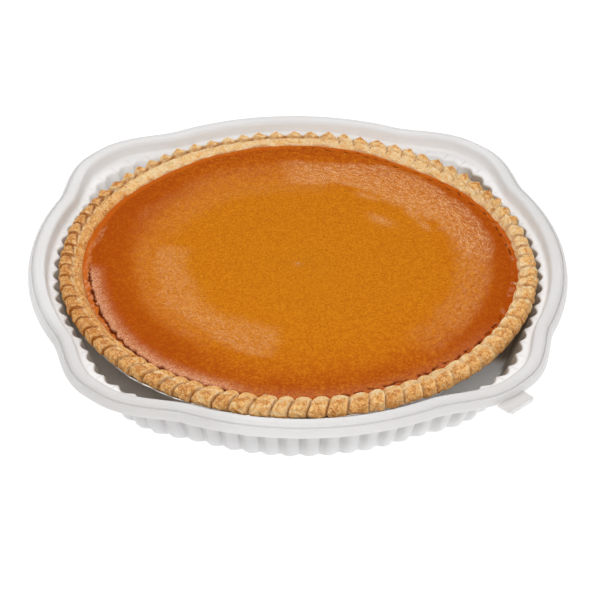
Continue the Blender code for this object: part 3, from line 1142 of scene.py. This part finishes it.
        block = rim * eased((swell - 0.45) / 0.5) * (1 - facet)
        outside = eased((crest_reach - 150.2 * MM) / (1.6 * MM))
        middle = np.exp(-(((crest_reach - 148.0 * MM) / (3.4 * MM)) ** 2)) * eased((arch - 0.35) / 0.6)
        bake_and_painted_light = 0.30 * block + (0.30 + 0.08 * pillowed) * outside - 0.22 * pillowed * crown + 0.12 * rim + 0.16 * ripple(angle, 34, 2, 7) * rim
        bake_and_painted_light = bake_and_painted_light + (0.40 + 0.40 * side) * middle - (0.28 + 0.12 * side) * rim * (1 - middle) + 0.14 * self.drawn(crimp, 46) * rim
        bake_and_painted_light = bake_and_painted_light - 0.05 * reach_between(angle, 296, 400, 16) - 0.33 * reach_between(angle, 50, 140, 25)
        bake_and_painted_light = bake_and_painted_light + 0.16 * slope * wrinkle + 0.26 * pointed * beaded + side * (0.76 - 0.66 * rim)
        # Painted highlight near the crest of each crimp on the right.
        bake_and_painted_light = bake_and_painted_light - 0.34 * rim * reach_between(angle, 300, 400, 20) * eased((share - 0.62) / 0.2) * (share < 0.93)
        turning.note("bake_and_painted_light", bake_and_painted_light - 0.02)
        # Painted shade on the steep drop of each crimp and at the start of the next; on the right a painted shadow lies
        # just past each crest.
        slit = np.where(share > 0.93, 1 - 0.45 * pillowed, np.exp(-((share / 0.035) ** 2)))
        right = 0.38 * reach_between(angle, 292, 390, 20) + 0.30 * reach_between(angle, 335, 390, 15)
        slit = np.maximum(slit, right * np.exp(-(((share - 0.11) / 0.08) ** 2)))
        slit = slit * (1 - pillowed * (1 - right) * (0.25 - 0.30 * self.drawn(crimp, 48)) * eased((crest_reach - 144 * MM) / (4 * MM)))
        # The crease note is partly browning and partly painted shade, in creases, pits and folds and in the troughs of
        # tears and wrinkles.
        pits = np.exp(-(((crest_reach - 142.2 * MM) / (0.9 * MM)) ** 2)) * beaded
        notched = eased((crest_reach - (142.2 + 2.6 * toothed) * MM) / (1.2 * MM)) * (1 - 0.55 * toothed)
        crease = np.maximum.reduce([notched * (1 - facet), 0.8 * crown * pillowed, pits]) * slit
        crease = np.maximum(1.05 * crease, 1.3 * fold)
        cracked = 0.30 * torn + 0.40 * slope * np.maximum(-wrinkle - 0.35, 0) + 0.3 * groove * beaded
        turning.note("crease", crease + cracked)
        edge_height = height + 0.4 * MM * ripple(angle, 35, 20, 70)
        turning.note("stain", 0.75 * (1 - eased((edge_height - 41.9 * MM) / (1.0 * MM))) * (crest_reach < 141 * MM))
        return turning.finish()

    def dress(self) -> None:
        """Builds the shell and gives it its pastry."""
        dress(self.build(), BakedPastry().made(), Slot.PASTRY, Node.CRUST)


# ---------------------------------------------------------------- the filling


@dataclass
class Filling:
    """The baked pumpkin filling, with a swell inside its edge and the cracks where it drew away."""

    steps: int = 1264
    centre_height: float = 42.15 * MM
    swell_height: float = 43.0 * MM
    swell_radius: float = 124.0 * MM
    line_height: float = 42.0 * MM
    floor_height: float = 7.2 * MM
    foot_radius: float = 115.0 * MM

    def section(self) -> Array:
        """The section, out over the top and back along the pocket's floor, as reach and height."""
        inner = np.concatenate([np.arange(0, 117, 3.9), np.arange(117, 128, 1.3)]) * MM
        outer = np.arange(128.0, 139.6, 0.5) * MM
        top = [(reach, self.centre_height) for reach in (*inner, *outer)]
        foot, floor = self.foot_radius, self.floor_height
        return np.array([*top, (136.0 * MM, 38.6 * MM), (foot, floor), (foot * 0.5, floor), (0.0, floor)])

    def surface(self, reach: Array) -> Array:
        """The even height of the top at each distance from the axis."""
        stops = np.array([0, 60, 92, 112, 122, 128, 133, 136, 137.9, 139.4]) * MM
        heights = np.array([42.15, 42.2, 42.3, 42.8, 43.05, 43.0, 42.75, 42.4, 41.95, 41.3]) * MM
        return np.interp(reach, stops, heights)

    def build(self) -> bpy.types.Object:
        """The filling, with its notes on painted shade in the cracks, gloss and painted sheen, and orange."""
        rows = self.section()
        turning = Turning("pumpkin_filling", rows, self.steps)
        turning.spin()
        angle, row_reach = turning.angle, rows[turning.line, 0]
        top = rows[turning.line, 1] > 40 * MM
        edge = FillingLine().reach(angle)
        swung = edge - 137.9 * MM
        pull = eased((row_reach - 112 * MM) / (24 * MM))
        reach = row_reach + pull * swung * top
        height = np.where(top, self.surface(row_reach), rows[turning.line, 1])
        flat = round_places(reach, angle, np.zeros_like(reach))

        jag = ripple(angle, 51, 40, 150) + 0.5 * ripple(angle, 57, 160, 260)
        left_line = (133.1 + 5.0 * eased((np.degrees(angle) - 186) / 46) + 0.50 * jag) * MM
        left_line = np.minimum(left_line, edge - 0.5 * MM)
        left = reach_between(angle, 184, 252, 7)
        from_left = reach - left_line
        strip = left * eased(from_left / (0.9 * MM))
        lip = left * np.exp(-(((from_left + 1.5 * MM) / (1.6 * MM)) ** 2))
        gap_width = (0.54 + 0.34 * ripple(angle, 52, 30, 120)) * MM
        left_gap = left * np.exp(-((from_left / np.maximum(gap_width, 0.2 * MM)) ** 2))

        right_line = (edge - 0.9 * MM) - (1.3 + 0.6 * ripple(angle, 53, 20, 110)) * MM * reach_between(angle, 286, 334, 14)
        right = reach_between(angle, 270, 331, 5) * eased((ripple(angle, 54, 30, 110) + 0.55) / 0.5)
        right_width = (0.50 + 0.22 * ripple(angle, 58, 60, 200)) * MM
        right_gap = right * np.exp(-(((reach - right_line) / np.maximum(right_width, 0.2 * MM)) ** 2))

        back_line = (edge - 3.2 * MM) + (0.9 * ripple(angle, 55, 24, 90)) * MM
        back = reach_between(angle, 2, 84, 6) * (0.30 + 0.70 * eased((ripple(angle, 56, 40, 150) - 0.05) / 0.5))
        back_gap = back * np.exp(-(((reach - back_line) / (0.55 * MM)) ** 2))

        wave = grain(flat * np.array([1.0, 1.7, 1.0]), 9 * MM, 5) + 0.5 * grain(flat, 4.2 * MM, 6)
        slow = grain(flat, 34 * MM, 7)
        wrinkled = 0.35 + 0.65 * self.sheen(flat)
        height = height + top * (0.10 * wave * wrinkled + 0.22 * slow) * MM * (1 - eased((reach - 130 * MM) / (6 * MM)))
        rim_rough = eased((reach - 129 * MM) / (4 * MM)) * top
        height = height + rim_rough * (0.16 * grain(flat, 2.2 * MM, 8) + 0.10 * grain(flat, 1.1 * MM, 9)) * MM
        height = height + top * MM * (0.55 * lip - 0.85 * strip - 1.5 * left_gap - 1.3 * right_gap - 0.9 * back_gap)
        height = height + top * MM * strip * 0.35 * grain(flat, 1.8 * MM, 10)
        ring = np.exp(-(((reach - (edge - 5.0 * MM)) / (1.3 * MM)) ** 2))
        height = height - top * 0.30 * MM * ring * reach_between(angle, -10, 100, 15)
        places = flat.copy()
        places[:, 2] = height
        turning.place(places)

        # Painted shade in the cracks and gaps by the edge.
        dark = np.maximum.reduce([left_gap * 1.6, right_gap * 1.5, back_gap]) * top
        turning.note("painted_crack_shade", dark)
        # Painted glints on the strips by the edge, on the left and the right.
        glints = eased((grain(flat, 2.6 * MM, 12) - 0.15) / 0.4) * eased((reach - edge + 5 * MM) / (2 * MM))
        lip_sheen_reach = np.maximum(left * reach_between(angle, 170, 243, 16), 0.24 * reach_between(angle, 236, 318, 16))
        puffed = left * (1 - eased((-from_left - 2.5 * MM) / (7 * MM))) * (from_left < -0.4 * MM)
        # Gloss and painted sheen in the arcs, by the left crack's lip and on the left strip.
        turning.note("sheen", np.maximum(self.sheen(flat), 0.8 * puffed * lip_sheen_reach) + 0.35 * strip)
        # Painted sheen fading inwards from the left crack, with the glints.
        painted_sheen_and_glints = lip_sheen_reach * (1 - np.clip((-from_left - 0.8 * MM) / (12 * MM), 0, 1)) ** 1.7 * (from_left < -0.3 * MM)
        painted_sheen_and_glints = 0.62 * painted_sheen_and_glints + glints * (0.22 * reach_between(angle, 335, 375, 10) + 0.45 * left * (from_left > 0.5 * MM))
        turning.note("painted_sheen_and_glints", painted_sheen_and_glints)
        orange = 0.9 * strip + 0.9 * eased((reach - edge + 6 * MM) / (4 * MM)) * reach_between(angle, 10, 175, 20)
        turning.note("orange", orange)
        browned = reach_between(angle, 140, 222, 25) * eased((reach - 98 * MM) / (16 * MM)) * (1 - strip)
        browned = np.maximum(browned, reach_between(angle, 325, 392, 20) * eased((reach - 116 * MM) / (12 * MM)))
        turning.note("browned", 0.55 * browned)
        return turning.finish()

    def sheen(self, places: Array) -> Array:
        """How glossy the skin is in its arcs and patches, which also carry a painted sheen in its colour."""
        reach = np.hypot(places[:, 0], places[:, 1]) / MM
        angle = np.arctan2(places[:, 1], places[:, 0]) % FULL_TURN
        wander = 3.0 * grain(places, 16 * MM, 21) + 1.5 * grain(places, 6 * MM, 22)
        turn = turn_from(angle, 0.0)
        arcs = (
            (6.0, 84.0, 14.0, 92 + 13 * eased((48 - turn) / 45), 4.0, 124 - 9 * eased((turn - 52) / 30), 5.0, 0.95),
            (-32.0, 10.0, 16.0, 99.0, 6.0, 121.0, 6.0, 0.42),
            (170.0, 252.0, 10.0, 66.0, 12.0, 91 + 6 * eased((turn_from(angle, 225.0)) / 30), 4.0, 0.62),
            (165.0, 225.0, 14.0, 92.0, 5.0, 102.0, 7.0, 0.22),
            (84.0, 150.0, 20.0, 78.0, 14.0, 112.0, 8.0, 0.20),
            (-45.0, -30.0, 12.0, 96.0, 8.0, 120.0, 8.0, 0.25),
            (163.0, 186.0, 5.0, 130.5, 1.5, 134.5, 1.5, 0.55),
        )
        total = np.zeros(len(places))
        for start, end, fade, inner, inner_fade, outer, outer_fade, amount in arcs:
            within = eased((reach + wander - inner) / inner_fade) * (1 - eased((reach + wander - outer) / outer_fade))
            total = np.maximum(total, amount * within * reach_between(angle, start, end, fade))
        patches = (
            (57.0, 47.0, 3.5, 10.0, 48.0, 1.0),
            (79.0, 52.0, 3.0, 8.0, 40.0, 0.9),
            (84.0, 40.0, 2.5, 7.0, 30.0, 0.9),
            (50.0, 75.0, 3.0, 8.0, 60.0, 0.9),
            (-24.0, -80.0, 2.2, 9.0, 80.0, 0.9),
            (-58.0, -66.0, 3.0, 9.0, 50.0, 0.7),
            (0.0, 1.0, 1.2, 3.0, 70.0, 0.8),
        )
        for x, y, wide, long, turn_deg, amount in patches:
            turned = math.radians(turn_deg)
            across = places[:, 0] / MM - x
            along = places[:, 1] / MM - y
            first = (across * math.cos(turned) + along * math.sin(turned)) / wide
            second = (along * math.cos(turned) - across * math.sin(turned)) / long
            total = np.maximum(total, amount * np.exp(-((first**2 + second**2) ** 1.5)))
        return total

    def dress(self) -> None:
        """Builds the filling and gives it its custard."""
        dress(self.build(), PumpkinCustard().made(), Slot.CUSTARD, Node.FILLING)


# ---------------------------------------------------------------- crumbs and specks


@dataclass(frozen=True)
class Bit:
    """One loose bit: where its middle is, in millimetres, its half sizes, and how it is turned."""

    place: tuple[float, float, float]
    half: tuple[float, float, float]
    turn_deg: float = 0.0


@dataclass
class LooseBits:
    """Bits of one kind that fell or clung where they are, each a rough lump of its own."""

    name: str
    bits: tuple[Bit, ...]
    seed: int

    def lump(self, bit: Bit, number: int) -> bpy.types.Object:
        """One bit, its surface broken up.

        Args:
            bit: Its place, size and turn.
            number: Picks its unevenness.

        Returns:
            The lump, at its place.
        """
        deselect_all()
        bpy.ops.mesh.primitive_ico_sphere_add(subdivisions=4, radius=1.0, location=(0, 0, 0))
        made = named(bpy.context.object, self.name)
        mesh = made.data
        places = np.empty(len(mesh.vertices) * 3, np.float32)
        mesh.vertices.foreach_get("co", places)
        places = places.reshape(-1, 3).astype(float)
        seed = self.seed + 3 * number
        places *= (1 + 0.30 * grain(places + 5, 0.9, seed) + 0.16 * grain(places + 5, 0.4, seed + 1))[:, None]
        mesh.vertices.foreach_set("co", (places * np.array(bit.half) * MM).astype(np.float32).ravel())
        turn = Matrix.Rotation(math.radians(bit.turn_deg), 4, "Z")
        mesh.transform(Matrix.Translation(Vector(bit.place) * MM) @ turn)
        bpy.ops.object.shade_smooth()
        return made

    def build(self) -> bpy.types.Object:
        """All of them, joined."""
        lumps = [self.lump(bit, number) for number, bit in enumerate(self.bits)]
        deselect_all()
        for lump in lumps:
            lump.select_set(True)
        bpy.context.view_layer.objects.active = lumps[0]
        if len(lumps) > 1:
            bpy.ops.object.join()
        return named(bpy.context.object, self.name)


@dataclass
class SpiceSpecks:
    """Flecks of ground spice that lie bedded in the filling's skin."""

    count: int = 190
    most_reach: float = 126.0 * MM
    largest: float = 0.42 * MM
    smallest: float = 0.20 * MM
    lone: tuple[float, float, float] = (35.4 * MM, 81.1 * MM, 0.62 * MM)

    def build(self, filling: bpy.types.Object) -> bpy.types.Object:
        """One fleck, repeated and scattered over the filling.

        Args:
            filling: The filling, which gives the height at each place.

        Returns:
            The flecks, as one piece.
        """
        deselect_all()
        bpy.ops.mesh.primitive_ico_sphere_add(subdivisions=1, radius=1.0, location=(0, 0, 0))
        specks = named(bpy.context.object, "spice_specks")
        corners = len(specks.data.vertices)
        repeated = specks.modifiers.new("repeat", "ARRAY")
        repeated.count = self.count
        repeated.use_relative_offset = False
        bpy.ops.object.modifier_apply(modifier=repeated.name)
        mesh = specks.data
        places = np.empty(len(mesh.vertices) * 3, np.float32)
        mesh.vertices.foreach_get("co", places)
        places = places.reshape(self.count, corners, 3).astype(float)
        draw = np.random.default_rng(71)
        for i in range(self.count):
            reach = self.most_reach * math.sqrt(draw.uniform())
            angle = draw.uniform(0, FULL_TURN)
            x, y = reach * math.cos(angle), reach * math.sin(angle)
            size = self.smallest + (self.largest - self.smallest) * draw.uniform() ** 2
            if i == 0:
                x, y, size = self.lone
            hit, top, _, _ = filling.ray_cast(Vector((x, y, 0.1)), Vector((0, 0, -1)))
            assert hit
            stretch = np.array([size, size * draw.uniform(0.6, 1.0), 0.10 * MM])
            turned = np.array(Matrix.Rotation(draw.uniform(0, FULL_TURN), 3, "Z"))
            places[i] = (places[i] * stretch) @ turned.T + np.array([x, y, top.z])
        mesh.vertices.foreach_set("co", places.astype(np.float32).ravel())
        mesh.update()
        bpy.ops.object.shade_smooth()
        return specks


@dataclass
class Crumbs:
    """What lies loose: pastry flakes, a crumb of filling on the tray's ledge, and specks of spice."""

    flakes: tuple[Bit, ...] = (
        Bit((-26.9, -134.4, 43.1), (1.3, 0.6, 0.45), 20.0),
        Bit((136.4, -26.8, 42.6), (0.9, 1.5, 0.5), 15.0),
        Bit((151.0, -23.4, 42.6), (0.9, 1.7, 1.2), 8.0),
        Bit((0.0, 0.7, 42.35), (0.9, 0.5, 0.25), 60.0),
    )
    fallen: tuple[Bit, ...] = (Bit((-62.6, 152.9, 39.3), (1.0, 0.7, 0.6), 30.0),)

    def dress(self) -> None:
        """Builds each kind and gives it its finish."""
        pastry, custard = (bpy.data.materials[slot.value] for slot in (Slot.PASTRY, Slot.CUSTARD))
        dress(LooseBits("pastry_flakes", self.flakes, 81).build(), pastry, Slot.PASTRY)
        dress(LooseBits("fallen_crumb", self.fallen, 91).build(), custard, Slot.CUSTARD)
        filling = bpy.data.objects["pumpkin_filling"]
        dress(SpiceSpecks().build(filling), GroundSpice().made(), Slot.CUSTARD)


# ---------------------------------------------------------------- the studio


@dataclass
class Studio:
    """The white floor, the soft lights and the camera."""

    floor_size: float = 24.0
    camera_at: tuple[float, float, float] = (-0.08513, -1.40631, 1.05887)
    azimuth_deg: float = 3.528
    tilt_deg: float = 36.574
    roll_deg: float = 0.876
    lens: float = 163.08
    surround: float = 0.385

    def lay_floor(self) -> None:
        """The floor, just under the tray."""
        deselect_all()
        bpy.ops.mesh.primitive_plane_add(size=self.floor_size, location=(0, 0, -0.0002))
        floor = named(bpy.context.object, "floor")
        bpy.ops.object.transform_apply(location=True, rotation=True, scale=True)
        floor.data.materials.append(PaleFloor().made())

    def hang_light(self, name: str, place: tuple[float, float, float], size: tuple[float, float], power: float) -> None:
        """A soft rectangular light aimed at the pie.

        Args:
            name: The light's name.
            place: Where it hangs.
            size: Its width and height.
            power: Its power in watts.
        """
        lamp = bpy.data.lights.new(name, "AREA")
        lamp.shape = "RECTANGLE"
        lamp.size, lamp.size_y = size
        lamp.energy = power
        made = bpy.data.objects.new(name, lamp)
        bpy.context.scene.collection.objects.link(made)
        made.location = place
        made.rotation_euler = (Vector((0, 0, 0.04)) - Vector(place)).to_track_quat("-Z", "Y").to_euler()

    def light(self) -> None:
        """A white surround and five soft boxes."""
        world = bpy.data.worlds.new("surround")
        world.use_nodes = True
        sky = world.node_tree.nodes["Background"]
        sky.inputs["Color"].default_value = (1.0, 1.0, 1.0, 1.0)
        sky.inputs["Strength"].default_value = self.surround
        bpy.context.scene.world = world
        self.hang_light("front_box", (0.0, -1.15, 1.5), (1.1, 0.9), 13.0)
        self.hang_light("key_box", (-1.1, -0.35, 1.6), (0.8, 0.8), 8.5)
        self.hang_light("back_box", (0.15, 1.7, 1.35), (1.5, 0.7), 11.5)
        self.hang_light("right_box", (1.6, 0.5, 1.2), (0.7, 0.9), 2.0)
        self.hang_light("low_box", (1.5, -1.0, 0.30), (0.6, 0.5), 5.5)

    def aim(self) -> None:
        """The camera."""
        lens = bpy.data.cameras.new("camera")
        lens.lens = self.lens
        lens.sensor_width = 36.0
        lens.clip_end = 100.0
        made = bpy.data.objects.new("camera", lens)
        bpy.context.scene.collection.objects.link(made)
        made.matrix_world = (
            Matrix.Translation(self.camera_at)
            @ Matrix.Rotation(-math.radians(self.azimuth_deg), 4, "Z")
            @ Matrix.Rotation(math.radians(90 - self.tilt_deg), 4, "X")
            @ Matrix.Rotation(math.radians(self.roll_deg), 4, "Z")
        )
        bpy.context.scene.camera = made
        bpy.context.scene.view_settings.view_transform = "Standard"

    def set_up(self) -> None:
        """All of it."""
        self.lay_floor()
        self.light()
        self.aim()


def main() -> None:
    """Builds the pie and its studio."""
    logging.basicConfig(level=logging.INFO, format="%(message)s")
    Studio().set_up()
    for part in (Tray(), FoilPan(), Crust(), Filling(), Crumbs()):
        part.dress()


if __name__ == "__main__":
    main()
